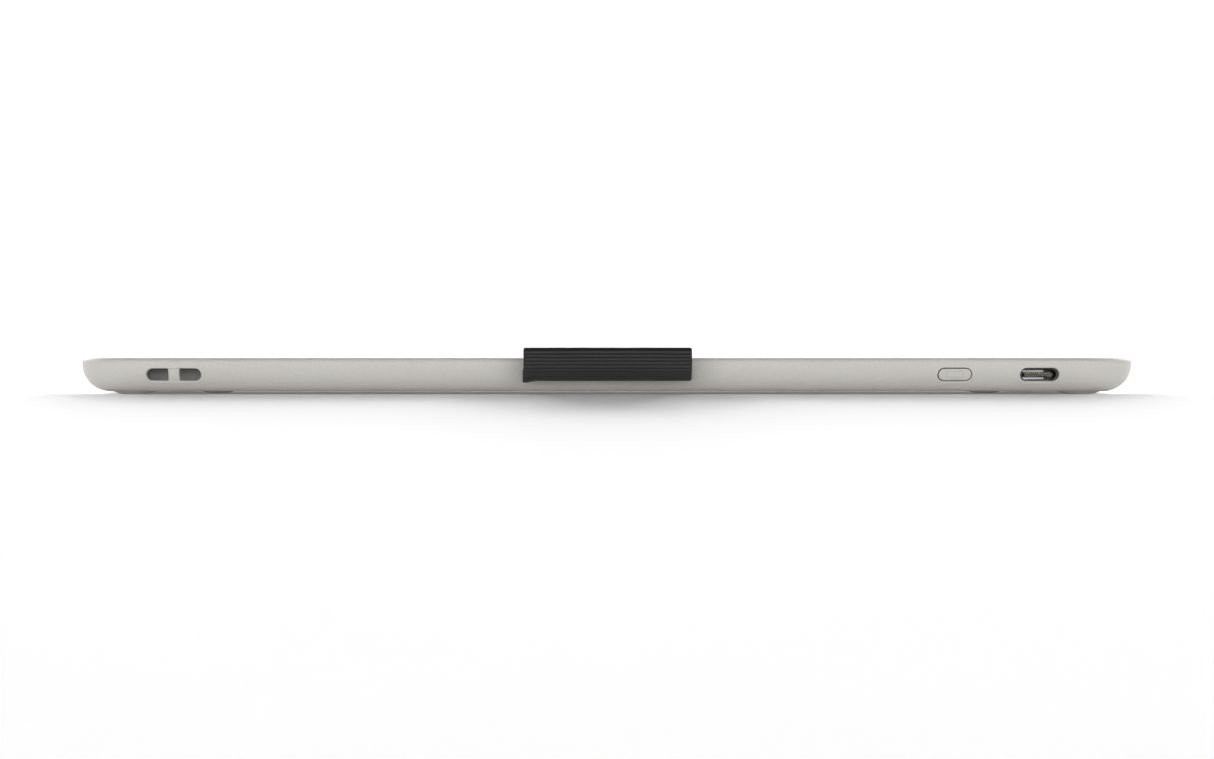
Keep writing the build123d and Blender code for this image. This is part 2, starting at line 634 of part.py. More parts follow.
def pen_loop():
    """The elastic band: two tails in the slot and one open loop outside, as wide as it is along X."""
    tail = front(LOOP_TAIL_INSET)
    points = [(0, tail, LOOP_TAIL_LOW_Z)]
    points += [(0, front(-reach), z) for reach, z in LOOP_POINTS]
    points += [(0, tail, LOOP_TAIL_HIGH_Z)]
    return ribbon(points, LOOP_RADII, LOOP_WIDTH, LOOP_THICKNESS)


def pen_loop_crimp():
    """The folded steel channel that clamps the band's tails, with an ear for a screw at each end."""
    half = LOOP_WIDTH / 2 + 0.5
    inset = (4.3, 8.85)
    channel = edge_block(0, half, inset, CRIMP_Z)
    hollow = (CRIMP_Z[0] + CRIMP_SHEET, CRIMP_Z[1] - CRIMP_SHEET)
    channel -= edge_block(0, half + 1, (inset[0] - 1, inset[1] - CRIMP_SHEET), hollow)
    ear = edge_block(0, 26.0, (inset[0] + 0.2, inset[1] - 0.2), (CRIMP_Z[0], CRIMP_Z[0] + CRIMP_SHEET))
    ear = fillet(ear.edges().filter_by(Axis.Z), 1.0)
    y, radius = front(CRIMP_BOSS_INSET), SCREW_HOLE_RADIUS + 0.1
    return channel + ear - [post(side * CRIMP_BOSS_X, y, radius, (2, 5)) for side in (-1, 1)]


# ================================================================ power and aerials
def battery(side):
    """A lithium pouch with a folded seam along its front end."""
    width, depth, height = BATTERY_SIZE
    centre = (side * BATTERY_CENTRE[0], BATTERY_CENTRE[1])
    pouch = slab(width, depth, (BATTERY_Z, BATTERY_Z + height), 2.0, centre)
    pouch = fillet(pouch.edges().group_by(Axis.Z)[-1] + pouch.edges().group_by(Axis.Z)[0], 0.8)
    seam_y = centre[1] - depth / 2
    seam_x = (centre[0] - width / 2 + 3, centre[0] + width / 2 - 3)
    return pouch + block(seam_x, (seam_y - 1.5, seam_y + 1), (3.2, 3.5))


def battery_tape():
    """Strips of stretch-release tape between the floor and the two pouches."""
    z = (FLOOR_Z, BATTERY_Z)
    return [slab(18, 90, z, centre=(x, BATTERY_CENTRE[1])) for x in (-74, -30, 30, 74)]


def battery_board():
    return fillet(block((30.0, 74.0), (-35.3, -30.2), (2.2, 3.0)).edges().filter_by(Axis.Z), 0.5)


def battery_lead():
    """The flat lead from the battery's board to its connector on the main board."""
    points = [(60, -32.0, 3.2), (60, -34.4, 3.2), (60, -37.2, 3.9), (60, -44.0, 3.9), (60, -46.9, 3.7)]
    return ribbon(points, [1.0, 1.5, 3.0], 5.0, 0.4)


def antenna(side):
    """A moulded aerial block on the floor by the far edge, slotted between its two arms."""
    low, high = sorted((side * ANTENNA_X[0], side * ANTENNA_X[1]))
    body = block((low, high), ANTENNA_Y, (FLOOR_Z + 0.05, 3.9))
    return body - block((low + 3, high - 3), (80.9, 82.1), (3.2, 5.0))


def coax(side):
    """The thin aerial lead: off the board, along its rear edge, and up beside the battery to the aerial."""
    start_x = COAX_START_X[0] if side < 0 else COAX_START_X[1]
    lane_y = -40.8 if side < 0 else -43.0
    lane_x = side * 105.5
    level, end_x, end_y = COAX_LEVEL_Z, side * ANTENNA_X[1], sum(ANTENNA_Y) / 2
    points = [(start_x, COAX_START_Y + 0.9, 3.47), (start_x, -45.4, 3.47), (start_x, lane_y, level)]
    points += [(lane_x, lane_y, level), (lane_x, end_y, level), (end_x, end_y, level)]
    return wire(points, [0.8, 1.6, 6.0, 4.5], COAX_DIAMETER)


# ================================================================ everything
def build():
    outer = hull()
    export("rear_shell", rear_shell(outer))
    export("front_bezel", front_bezel())
    for name, place in zip(("front_left", "front_right", "rear_left", "rear_right"), foot_places()):
        export(f"foot_{name}", foot(*place))

    export("cover_lens", cover_lens())
    export("lens_gasket", lens_gasket())
    export("touch_film", sheet_over_active(1.6, TOUCH_FILM_Z))
    export("front_light_guide", sheet_over_active(1.6, LIGHT_GUIDE_Z))
    export("front_light_strip", *front_light_strip())
    export("ink_film", sheet_over_active(1.3, INK_FILM_Z))
    export("panel_backplane", sheet_over_active(3.0, BACKPLANE_Z))
    export("panel_driver_chips", *panel_driver_chips())
    export("digitizer_sensor", sheet_over_active(2.6, DIGITIZER_Z))
    export("midframe", midframe())
    export("midframe_screws", *screws(MIDFRAME_BOSSES, MIDFRAME_Z[1], 2.8))

    display_flex = panel_flex(50.0, 24.0, (-81.65, BACKPLANE_Z[1] - 0.2), CONNECTORS[0][2])
    touch_flex = panel_flex(70.0, 8.0, (-80.25, sum(TOUCH_FILM_Z) / 2), CONNECTORS[1][2])
    pen_x, _, pen_y = CONTROLLER_CONNECTOR
    pen_flex = panel_flex(pen_x, 12.0, (-81.25, sum(DIGITIZER_Z) / 2), pen_y)
    export("display_flex", display_flex)
    export("touch_flex", touch_flex)
    export("digitizer_flex", pen_flex)
    export("front_light_flex", front_light_flex())

    export("main_board", main_board())
    export("main_processor", chip(60.0, -58.0, 14.0, 14.0, 1.0))
    export("memory_chips", chip(75.0, -58.0, 10.0, 13.0, 0.8), chip(86.0, -58.0, 9.0, 11.0, 0.9))
    export("power_chip", chip(105.5, -60.5, 6.0, 6.0, 0.8))
    export("main_shield_can", can((50.0, 93.0), (-67.0, -50.0), (BOARD_Z[1], BOARD_Z[1] + SHIELD_HEIGHT)))
    export("thermal_pad", slab(24.0, 13.0, (BOARD_Z[1] + SHIELD_HEIGHT, MIDFRAME_Z[0]), centre=(64.0, -58.5)))
    export("wireless_module", chip(40.0, -57.5, 9.0, 9.0, 0.9))
    export("wireless_shield_can", can((34.0, 46.0), (-64.0, -51.0), (BOARD_Z[1], BOARD_Z[1] + SHIELD_HEIGHT)))
    export("board_connectors", *board_connectors())
    export("board_passives", *board_passives())
    export("main_board_screws", *screws(BOARD_BOSSES, BOARD_Z[1], 1.5))
    export("controller_board", controller_board())
    export("controller_chip", chip(-74.0, -70.0, 8.0, 8.0, 0.9))
    export("controller_connectors", flex_connector(*CONTROLLER_CONNECTOR), link_socket(LINK_X[0]))
    export("link_cable", link_cable())
    export("controller_board_screws", *screws(CONTROLLER_BOSSES, BOARD_Z[1], 1.5))

    export("power_button", power_button(outer))
    export("switch_body", switch_body())
    export("switch_plunger", switch_plunger())
    export("button_bracket", button_bracket())
    export("usb_shell", usb_shell())
    export("usb_tongue", usb_tongue())
    export("usb_contacts", *usb_contacts())
    export("usb_shields", *usb_shields())
    export("usb_gasket", usb_gasket())
    export("lanyard_liner", lanyard_liner())
    export("pen_loop", pen_loop())
    export("pen_loop_crimp", pen_loop_crimp())
    crimp_places = [(side * CRIMP_BOSS_X, front(CRIMP_BOSS_INSET)) for side in (-1, 1)]
    export("pen_loop_screws", *screws(crimp_places, CRIMP_Z[0] + CRIMP_SHEET, 1.8))

    for name, side in (("left", -1), ("right", 1)):
        export(f"battery_{name}", battery(side))
        export(f"antenna_{name}", antenna(side))
        export(f"antenna_lead_{name}", coax(side))
    export("battery_tape", *battery_tape())
    export("battery_board", battery_board())
    export("battery_lead", battery_lead())


os.makedirs("parts", exist_ok=True)
build()
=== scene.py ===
"""Looks of the e-reader: materials on the CAD nodes, the ribbed elastic pen loop, floor, light and camera.

Everything is in metres in the CAD frame: X along the edge with the ports, Y away from it, and Z up
from the floor.
"""

import json
import math

import bmesh
import bpy
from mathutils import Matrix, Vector, noise


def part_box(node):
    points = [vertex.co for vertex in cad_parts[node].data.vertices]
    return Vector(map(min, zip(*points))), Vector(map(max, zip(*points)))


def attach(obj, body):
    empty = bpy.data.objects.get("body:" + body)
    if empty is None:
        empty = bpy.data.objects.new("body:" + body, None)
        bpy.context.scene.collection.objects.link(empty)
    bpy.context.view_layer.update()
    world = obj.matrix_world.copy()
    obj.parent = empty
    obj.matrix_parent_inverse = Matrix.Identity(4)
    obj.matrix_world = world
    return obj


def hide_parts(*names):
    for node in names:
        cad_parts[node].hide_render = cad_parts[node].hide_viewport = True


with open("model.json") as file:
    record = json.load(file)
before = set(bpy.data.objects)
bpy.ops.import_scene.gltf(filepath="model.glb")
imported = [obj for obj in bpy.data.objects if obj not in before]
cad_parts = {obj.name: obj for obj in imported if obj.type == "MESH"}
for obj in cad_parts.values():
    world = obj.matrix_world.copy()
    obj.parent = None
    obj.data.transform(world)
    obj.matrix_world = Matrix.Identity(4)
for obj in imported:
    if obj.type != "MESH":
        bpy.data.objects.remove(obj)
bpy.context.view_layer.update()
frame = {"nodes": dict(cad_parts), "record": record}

MM = 0.001

# ---------------------------------------------------------------- places read from the frame
CASE_LOW, CASE_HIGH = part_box("rear_shell")
FRONT_Y = CASE_LOW.y
CENTRE_Y = (CASE_LOW.y + CASE_HIGH.y) / 2
PAGE_LOW, PAGE_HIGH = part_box("ink_film")

# ---------------------------------------------------------------- camera
CAMERA_DISTANCE = 0.662
CAMERA_HEIGHT = 0.00146
CAMERA_X = -0.007
CAMERA_LENS = 83.3
FRAME_SHIFT = (0.0242, 0.0070)

# ---------------------------------------------------------------- pen loop
# The band's centre line, as (reach beyond the front edge, height) in millimetres, and the radius
# at each corner.
BAND_CORNERS = [(-8.4, 4.12), (-0.9, 4.12), (0.8, 3.68), (4.57, 3.56), (8.5, 6.5)]
BAND_CORNERS += [(8.43, 10.42), (1.5, 10.17), (0.8, 6.2), (0.1, 5.18), (-8.4, 5.18)]
BAND_RADII = [1.0, 1.2, 2.2, 3.2, 0.5, 2.2, 1.0, 0.6]
BAND_WIDTH = 39.2 * MM
BAND_CORE = 0.25 * MM
RIB_PITCH = 0.82 * MM
RIB_HEIGHT = 0.24 * MM
RIB_STEPS = 8
BAND_ACROSS = 76
SELVEDGE = 0.45 * MM

# ---------------------------------------------------------------- the loop's curled lower left corner
CURL_START = 15.4 * MM
CURL_LENGTH = 4.2 * MM
CURL_TOP = 4.3 * MM
CURL_HEIGHT = 1.1 * MM
CURL_DOWN = 0.42 * MM
TIP_START = 18.9 * MM
TIP_LENGTH = 0.7 * MM
TIP_OUT = 0.34 * MM

# ---------------------------------------------------------------- light
# Each panel: its side (1 behind the object, -1 in front of it), its elevations in degrees, how far it
# reaches to each side (as the X of a unit direction, 1.5 being all the way round), and its brightness.
# The first two are the plain backdrop, the third makes the shadow in front, the last lights the ports.
ROOM_LIGHT = 0.13
SOFTBOXES = [
    {"side": 1, "lowest": -90, "highest": 15, "reach": 1.5, "strength": 1.0},
    {"side": -1, "lowest": -90, "highest": -1, "reach": 1.5, "strength": 1.0},
    {"side": 1, "lowest": 16, "highest": 38, "reach": 0.8, "strength": 7.7},
    {"side": -1, "lowest": 1, "highest": 15, "reach": 0.65, "strength": 5.2},
]
SOFT_EDGE = 0.03

# ---------------------------------------------------------------- case plastic, as a linear grey
CASE_TONE = 0.57
CASE_WARMTH = 0.055

# ---------------------------------------------------------------- how much of the lens is gloss: seen
# straight on, added at a glance, and how fast that grows
FACING_GLOSS = 0.05
GLANCE_GLOSS = 0.6
GLANCE_POWER = 4.0


# ================================================================ materials
class Shader:
    """One procedural material: a Principled shader, and short ways to feed it."""

    def __init__(self, name, **sockets):
        self.material = bpy.data.materials.new(name)
        self.material.use_nodes = True
        self.tree = self.material.node_tree
        self.tree.nodes.clear()
        self.output = self.add("ShaderNodeOutputMaterial")
        self.shader = self.add("ShaderNodeBsdfPrincipled")
        self.join(self.shader.outputs["BSDF"], self.output.inputs["Surface"])
        self.place = self.add("ShaderNodeTexCoord").outputs["Object"]
        for socket, value in sockets.items():
            self.shader.inputs[socket.replace("_", " ")].default_value = value

    def add(self, kind, **settings):
        node = self.tree.nodes.new(kind)
        for name, value in settings.items():
            setattr(node, name, value)
        return node

    def join(self, source, target):
        """Feeds a socket from another one, or sets it to a plain value."""
        if isinstance(source, bpy.types.NodeSocket):
            self.tree.links.new(source, target)
        else:
            target.default_value = source

    def feed(self, socket, source):
        self.join(source, self.shader.inputs[socket])

    def maths(self, operation, *values, clamp=False):
        node = self.add("ShaderNodeMath", operation=operation, use_clamp=clamp)
        for value, target in zip(values, node.inputs):
            self.join(value, target)
        return node.outputs[0]

    def add_separate(self):
        """The place on the object as three coordinates, in metres."""
        node = self.add("ShaderNodeSeparateXYZ")
        self.join(self.place, node.inputs[0])
        return node

    def noise(self, size, detail=2.0, stretch=(1, 1, 1)):
        """Cloudy noise from 0 to 1, its features about size across and drawn out by stretch."""
        scaled = self.add("ShaderNodeMapping")
        self.join(self.place, scaled.inputs["Vector"])
        scaled.inputs["Scale"].default_value = [1 / (size * s) for s in stretch]
        node = self.add("ShaderNodeTexNoise")
        self.join(scaled.outputs[0], node.inputs["Vector"])
        node.inputs["Scale"].default_value = 1.0
        node.inputs["Detail"].default_value = detail
        return node.outputs["Fac"]

    def remap(self, value, low, high, to_low=0.0, to_high=1.0):
        """value moved smoothly from low..high to to_low..to_high, and held beyond."""
        node = self.add("ShaderNodeMapRange", interpolation_type="SMOOTHSTEP")
        for source, target in zip((value, low, high, to_low, to_high), node.inputs):
            self.join(source, target)
        return node.outputs[0]

    def mix(self, factor, first, second, blend="MIX"):
        """A colour between first at 0 and second at 1."""
        node = self.add("ShaderNodeMix", data_type="RGBA", blend_type=blend)
        self.join(factor, node.inputs[0])
        self.join(first, node.inputs[6])
        self.join(second, node.inputs[7])
        return node.outputs[2]

    def bump(self, height, depth, over=None):
        """A normal raised by depth where height is 1."""
        node = self.add("ShaderNodeBump")
        node.inputs["Distance"].default_value = depth
        self.join(height, node.inputs["Height"])
        if over is not None:
            self.join(over, node.inputs["Normal"])
        return node.outputs[0]


def grey(value, warmth=0.0):
    """An opaque linear colour near grey: warmth lifts red a little and lowers blue."""
    return (value * (1 + warmth / 2), value, value * (1 - warmth), 1.0)


def moulded_plastic(name, tone, warmth, grain=0.32 * MM, roughness=0.56, depth=14e-6):
    """Spark-textured moulded plastic: fine grain in colour and relief, faint wear in its gloss."""
    mat = Shader(name, IOR=1.5, Specular_IOR_Level=0.42)
    fine = mat.noise(grain, detail=3.0)
    broad = mat.noise(28 * MM, detail=4.0)
    speckle = mat.mix(mat.remap(fine, 0.3, 0.7), grey(tone * 0.955, warmth), grey(tone * 1.04, warmth))
    cloud = mat.mix(mat.remap(broad, 0.3, 0.7), grey(0.975, 0.004), grey(1.0))
    mat.feed("Base Color", mat.mix(1.0, speckle, cloud, "MULTIPLY"))
    gloss = mat.maths("ADD", mat.remap(broad, 0.35, 0.75, roughness - 0.05, roughness + 0.05),
                      mat.remap(fine, 0.2, 0.8, -0.03, 0.03))
    mat.feed("Roughness", gloss)
    coarse = mat.bump(mat.noise(grain * 1.9, detail=1.0), depth * 1.4)
    mat.feed("Normal", mat.bump(fine, depth, over=coarse))
    return mat.material


def lens_material():
    """Etched anti-glare pane: clear to light, with a soft reflection that grows at a glance."""
    mat = Shader("lens_glass", Roughness=0.32, IOR=1.46, Specular_IOR_Level=0.5)
    etch = mat.noise(0.12 * MM, detail=2.0)
    mat.feed("Base Color", mat.mix(etch, grey(0.75), grey(0.85)))
    mat.feed("Normal", mat.bump(etch, 4e-6))
    clear = mat.add("ShaderNodeBsdfTransparent")
    glance = mat.add("ShaderNodeLayerWeight").outputs["Facing"]
    grown = mat.maths("POWER", glance, GLANCE_POWER)
    gloss = mat.maths("MULTIPLY_ADD", grown, GLANCE_GLOSS, FACING_GLOSS)
    both = mat.add("ShaderNodeMixShader")
    mat.join(gloss, both.inputs[0])
    mat.join(clear.outputs[0], both.inputs[1])
    mat.join(mat.shader.outputs[0], both.inputs[2])
    mat.join(both.outputs[0], mat.output.inputs["Surface"])
    return mat.material


def clear_film(name, tint=0.40):
    """A display film made milky, to stand for the look of the page under it, which it mostly hides."""
    mat = Shader(name, Roughness=0.25, Alpha=0.6)
    mat.feed("Base Color", mat.mix(mat.noise(3 * MM), grey(tint), grey(tint * 0.96)))
    return mat.material


def page_material():
    """Electronic paper with a blank ruled note page, upright when the edge with the ports is at the right."""
    mat = Shader("page_film", Roughness=0.62, Specular_IOR_Level=0.25)
    axes = mat.add_separate()
    along, across = axes.outputs["X"], axes.outputs["Y"]
    edge = 1.3 * MM
    line = 0.3 * MM
    pitch = 7.5 * MM
    head, foot = 17 * MM, 10 * MM

    from_head = mat.maths("SUBTRACT", PAGE_HIGH.x - edge, along)
    from_left = mat.maths("SUBTRACT", PAGE_HIGH.y - edge, across)
    turn = mat.maths("FRACT", mat.maths("DIVIDE", from_head, pitch))
    rule = mat.maths("LESS_THAN", turn, line / pitch)
    below_head = mat.maths("GREATER_THAN", from_head, head)
    above_foot = mat.maths("LESS_THAN", from_head, PAGE_HIGH.x - PAGE_LOW.x - foot)
    rule = mat.maths("MULTIPLY", rule, mat.maths("MULTIPLY", below_head, above_foot))

    head_line = stripe(mat, from_head, 14.0 * MM, 0.5 * MM)
    margin_line = stripe(mat, from_left, 19.0 * MM, 0.3 * MM)
    ink = mat.maths("MAXIMUM", rule, mat.maths("MAXIMUM", head_line, margin_line))

    speck = mat.noise(0.11 * MM, detail=1.0)
    cloud = mat.noise(30 * MM, detail=3.0)
    paper = mat.mix(mat.remap(speck, 0.3, 0.7), grey(0.74, 0.012), grey(0.78, 0.012))
    paper = mat.mix(1.0, paper, mat.mix(cloud, grey(0.97), grey(1.0)), "MULTIPLY")
    mat.feed("Base Color", mat.mix(mat.maths("MULTIPLY", ink, 0.62), paper, grey(0.14)))
    mat.feed("Normal", mat.bump(speck, 3e-6))
    return mat.material


def stripe(mat, distance, middle, width):
    """1 where distance is within half of width of middle."""
    return mat.maths("COMPARE", distance, middle, width / 2)


def brushed_metal(name, colour, roughness=0.32, stretch=(12, 1, 1)):
    """Rolled or brushed metal with fine drawn lines and a few duller patches."""
    mat = Shader(name, Metallic=1.0)
    lines = mat.noise(0.06 * MM, detail=3.0, stretch=stretch)
    dull = mat.noise(4 * MM, detail=3.0)
    shade = tuple(c * 0.86 for c in colour[:3]) + (1.0,)
    mat.feed("Base Color", mat.mix(mat.remap(dull, 0.3, 0.7), shade, colour))
    drawn = mat.remap(lines, 0.3, 0.7, roughness - 0.08, roughness + 0.08)
    mat.feed("Roughness", mat.maths("ADD", drawn, mat.remap(dull, 0.4, 0.7, 0.0, 0.06)))
    mat.feed("Normal", mat.bump(lines, 1.5e-6))
    return mat.material


def circuit_board():
    """Solder mask over faint copper traces."""
    mat = Shader("circuit_board", Roughness=0.34, Coat_Weight=0.25)
    axes = mat.add_separate()
    wander = mat.maths("MULTIPLY", mat.noise(6 * MM), 2.4 * MM)
    lane = mat.maths("ADD", axes.outputs["X"], wander)
    trace = mat.maths("FRACT", mat.maths("DIVIDE", lane, 0.9 * MM))
    trace = mat.maths("LESS_THAN", trace, 0.42)
    shown = mat.maths("GREATER_THAN", mat.noise(9 * MM, detail=1.0), 0.47)
    copper = mat.maths("MULTIPLY", trace, shown)
    mat.feed("Base Color", mat.mix(copper, (0.012, 0.09, 0.045, 1), (0.03, 0.17, 0.08, 1)))
    mat.feed("Normal", mat.bump(copper, 18e-6))
    return mat.material


def speckled(name, dark, light, size, roughness, depth=4e-6, **sockets):
    """A plain moulded, coated or laminated surface: two close colours in specks, with slight relief."""
    mat = Shader(name, **sockets)
    speck = mat.noise(size, detail=3.0)
    mat.feed("Base Color", mat.mix(mat.remap(speck, 0.3, 0.7), dark, light))
    mat.feed("Roughness", mat.remap(mat.noise(size * 14), 0.3, 0.7, roughness - 0.05, roughness + 0.05))
    mat.feed("Normal", mat.bump(speck, depth))
    return mat.material


def pouch_foil():
    """Aluminium laminate of a pouch cell, embossed and slightly creased."""
    mat = Shader("battery_pouch", Metallic=0.85)
    crease = mat.noise(7 * MM, detail=4.0)
    mat.feed("Base Color", mat.mix(crease, grey(0.42), grey(0.56)))
    mat.feed("Roughness", mat.remap(crease, 0.3, 0.7, 0.36, 0.5))
    mat.feed("Normal", mat.bump(mat.noise(0.8 * MM), 30e-6, over=mat.bump(crease, 120e-6)))
    return mat.material


def elastic_fabric():
    """Black covered-rubber webbing: fine yarns and light fuzz over each cord, with painted shade that makes
    the grooves between the cords nearly black.
    """
    yarn_pitch = 0.24 * MM
    mat = Shader("elastic_webbing", Specular_IOR_Level=0.35, Sheen_Weight=0.15, Sheen_Roughness=0.4)
    mat.shader.inputs["Sheen Tint"].default_value = grey(0.7)
    crown = mat.add("ShaderNodeAttribute", attribute_name="crown").outputs["Fac"]
    axes = mat.add_separate()
    wobble = mat.maths("MULTIPLY", mat.noise(2.2 * MM), 0.3 * MM)
    lane = mat.maths("ADD", axes.outputs["X"], wobble)
    yarn = mat.maths("SINE", mat.maths("MULTIPLY", lane, 2 * math.pi / yarn_pitch))
    yarn = mat.remap(yarn, -1.0, 1.0)
    fuzz = mat.noise(0.12 * MM, detail=3.0)
    patch = mat.noise(5 * MM, detail=3.0)
    crown_colour = mat.mix(yarn, grey(0.022, 0.02), grey(0.026, 0.02))
    crown_colour = mat.mix(mat.remap(fuzz, 0.5, 0.85), crown_colour, grey(0.045, 0.03))
    crown_colour = mat.mix(mat.remap(patch, 0.35, 0.75, 0.0, 0.3), crown_colour, grey(0.016, 0.06))
    # Painted shade: where the rib height falls towards a groove, the colour goes nearly black for the shade
    # that falls between the cords.
    ribbed_with_painted_groove_shade = mat.mix(mat.remap(crown, 0.45, 1.0), grey(0.004, 0.03), crown_colour)
    mat.feed("Base Color", ribbed_with_painted_groove_shade)
    mat.feed("Roughness", mat.remap(fuzz, 0.2, 0.8, 0.5, 0.72))
    mat.feed("Normal", mat.bump(fuzz, 22e-6, over=mat.bump(yarn, 6e-6)))
    return mat.material


def slot_materials():
    """The finished material of every slot in the record."""
    steel = (0.56, 0.56, 0.57, 1)
    buff, pale_buff = (0.3, 0.22, 0.15, 1), (0.4, 0.32, 0.24, 1)
    return {
        "case_plastic": moulded_plastic("case_plastic", CASE_TONE, CASE_WARMTH),
        "bezel_plastic": moulded_plastic("bezel_plastic", 0.60, 0.045, 0.26 * MM, 0.6),
        "foot_rubber": moulded_plastic("foot_rubber", CASE_TONE, CASE_WARMTH, 0.2 * MM, 0.68),
        "liner_plastic": moulded_plastic("liner_plastic", 0.3, 0.05, 0.2 * MM, 0.55),
        # Painted shade: the socket's steel is near black, darker than bare steel, for the shade inside the
        # port.
        "port_steel": brushed_metal("port_steel", (0.06, 0.06, 0.06, 1), 0.34, (1, 8, 1)),
        "dark_plastic": moulded_plastic("dark_plastic", 0.055, 0.02, 0.2 * MM, 0.5, depth=8e-6),
        "lens_glass": lens_material(),
        "page_film": page_material(),
        "display_glass": speckled("display_glass", grey(0.10), grey(0.13), 2 * MM, 0.15),
        "clear_film": clear_film("clear_film"),
        "black_foam": speckled("black_foam", grey(0.012), grey(0.03), 0.25 * MM, 0.85, depth=40e-6),
        "light_strip": speckled("light_strip", (0.62, 0.55, 0.3, 1), (0.8, 0.75, 0.5, 1), 0.6 * MM, 0.4),
        "sensor_film": speckled("sensor_film", (0.30, 0.15, 0.03, 1), (0.36, 0.19, 0.05, 1), 1.5 * MM, 0.3),
        "midframe_alloy": brushed_metal("midframe_alloy", (0.62, 0.63, 0.64, 1), 0.38, (30, 1, 1)),
        "steel_screws": brushed_metal("steel_screws", steel, 0.3, (1, 1, 6)),
        "flex_film": speckled("flex_film", (0.42, 0.20, 0.04, 1), (0.5, 0.26, 0.06, 1), 0.8 * MM, 0.28),
        "circuit_board": circuit_board(),
        "chip_epoxy": speckled("chip_epoxy", grey(0.018), grey(0.03), 0.15 * MM, 0.55, depth=8e-6),
        "plain_steel": brushed_metal("plain_steel", (0.30, 0.30, 0.31, 1), 0.34),
        "connector_plastic": speckled("connector_plastic", grey(0.02), grey(0.032), 0.2 * MM, 0.42),
        "ceramic_parts": speckled("ceramic_parts", buff, pale_buff, 0.2 * MM, 0.35),
        "gold_contacts": brushed_metal("gold_contacts", (0.83, 0.62, 0.27, 1), 0.22, (1, 8, 1)),
        "elastic_webbing": elastic_fabric(),
        "battery_pouch": pouch_foil(),
        "tape": speckled("tape", grey(0.75), grey(0.82), 0.5 * MM, 0.45),
        "lead_jacket": speckled("lead_jacket", grey(0.015), grey(0.022), 0.3 * MM, 0.45),
    }


def dress_nodes(materials):
    """Gives every CAD node the material of its slot."""
    for part in frame["record"]["subparts"]:
        mesh = frame["nodes"][part["node"]].data
        mesh.materials.clear()
        mesh.materials.append(materials[part["material_slot"]])


# ================================================================ pen loop
def rounded_path(corners, radii, step):
    """Evenly spaced points along a line of straight runs joined by arcs, and its length."""
    points = [Vector(c) for c in corners]
    dense = [points[0]]
    for before, corner, after, radius in zip(points, points[1:], points[2:], radii):
        inward, outward = (before - corner).normalized(), (after - corner).normalized()
        half = inward.angle(outward) / 2
        reach = radius / math.tan(half)
        centre = corner + (inward + outward).normalized() * (radius / math.sin(half))
        start, end = corner + inward * reach, corner + outward * reach
        first, last = start - centre, end - centre
        turn = first.angle_signed(last)
        count = max(2, int(abs(turn) * radius / step) * 4)
        for i in range(count + 1):
            angle = -turn * i / count
            cos, sin = math.cos(angle), math.sin(angle)
            turned = Vector((first.x * cos - first.y * sin, first.x * sin + first.y * cos))
            dense.append(centre + turned)
    dense.append(points[-1])
    lengths = [(b - a).length for a, b in zip(dense, dense[1:])]
    total = sum(lengths)
    count = round(total / step)
    return [point_at(dense, lengths, total * i / count) for i in range(count + 1)], total


def point_at(points, lengths, distance):
    """The point that far along a polyline."""
    for a, b, length in zip(points, points[1:], lengths):
        if distance <= length:
            return a.lerp(b, distance / length if length else 0.0)
        distance -= length
    return points[-1].copy()


def rib_profile(distance):
    """Height of the covered cords, from 0 in the groove between two to 1 on a crown."""
    across = 2 * (distance / RIB_PITCH % 1.0) - 1
    return (1 - across * across) ** 0.6


def ease(value):
    """A smooth rise from 0 at 0 to 1 at 1, held beyond."""
    value = min(max(value, 0.0), 1.0)
    return value * value * (3 - 2 * value)


def band_columns():
    """Places across the band, closer together in its two rounded selvedges."""
    half = BAND_WIDTH / 2
    rim = [half - SELVEDGE * (1 - math.cos(math.pi / 2 * i / 5)) for i in range(6)]
    inner = half - SELVEDGE
    middle = [inner * (2 * i / BAND_ACROSS - 1) for i in range(1, BAND_ACROSS)]
    return [-x for x in rim] + middle + rim[::-1]


def band_point(x, centre, normal, distance, side, total):
    """One point of the band's skin, on its outer side at 1 and its inner side at -1."""
    half = BAND_WIDTH / 2
    drift = noise.noise(Vector((x * 90, distance * 160, 3.1))) * 0.05 * MM
    end_wander = ease((-x - half * 0.45) / (half * 0.5))
    drift += end_wander * noise.noise(Vector((x * 420, distance * 500, 7.7))) * 0.12 * MM
    rib = rib_profile(distance + drift)
    rim = min(1.0, (half - abs(x)) / SELVEDGE)
    round_off = math.sqrt(max(0.0, 1 - (1 - rim) ** 2))
    swell = noise.noise(Vector((x * 260, distance * 900, 1.3))) * 0.02 * MM
    height = (BAND_CORE + RIB_HEIGHT * rib + swell) * round_off
    serration = (rib - 0.5) * 0.12 * MM * (1 - rim)
    place = Vector((x + math.copysign(serration, x), centre.x, centre.y))
    place += Vector((0.0, normal.x, normal.y)) * (height * side)
    return place + corner_flare(x, place.z, distance, total)


def corner_flare(x, height, distance, total):
    """The left lower corner of the loop, where the cut edge curls down and out."""
    in_front = 0.2 * total < distance < 0.5 * total
    along = ease((-x - CURL_START) / CURL_LENGTH)
    low = ease((CURL_TOP - height) / CURL_HEIGHT) if in_front else 0.0
    tip = ease((-x - TIP_START) / TIP_LENGTH)
    return Vector((-TIP_OUT * tip * low, 0.0, -CURL_DOWN * along * along * low))


